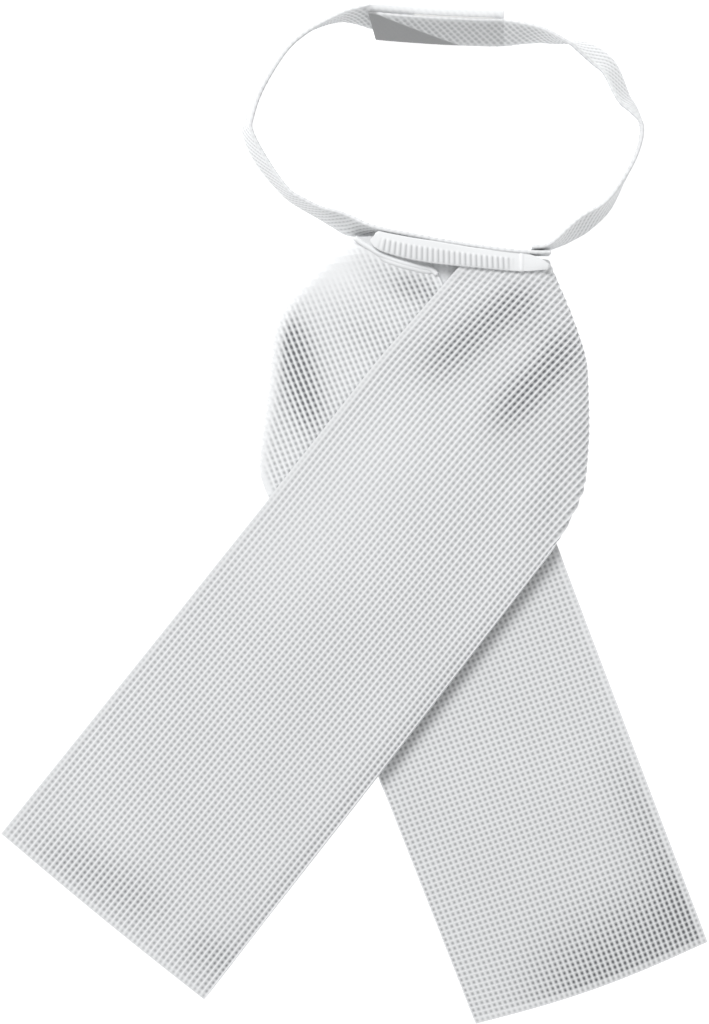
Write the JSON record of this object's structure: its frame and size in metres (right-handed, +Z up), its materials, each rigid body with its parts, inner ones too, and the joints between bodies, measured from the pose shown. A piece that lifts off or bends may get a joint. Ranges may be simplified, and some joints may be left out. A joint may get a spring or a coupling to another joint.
{
  "type": "ready-tied cravat",
  "caption": "White ready-tied cravat laid flat: a narrow neckband loop with an overlapping back closure, and broad waffle-weave tails that fold over at the neck and cross in front.",
  "frame": {"origin": "middle of the footprint, on the surface that the cravat lies on", "axes": "+Z up from the surface, +Y from the hems towards the neck loop"},
  "size_m": [0.2613, 0.3755, 0.0123],
  "materials": {
    "waffle_cloth": "white waffle weave, matt with a faint sheen",
    "band_cloth": "white folded band of fine ribbed cloth, matt",
    "tape": "white ribbed woven tape, matt",
    "touch_fastener": "white woven touch fastener, matt"
  },
  "bodies": {
    "root": {"tail_front": "waffle_cloth", "tail_back": "waffle_cloth", "neckband_left": "band_cloth", "neckband_right": "band_cloth", "keeper_tape": "tape", "fastener_hook": "touch_fastener", "fastener_loop": "touch_fastener"}
  },
  "joints": []
}
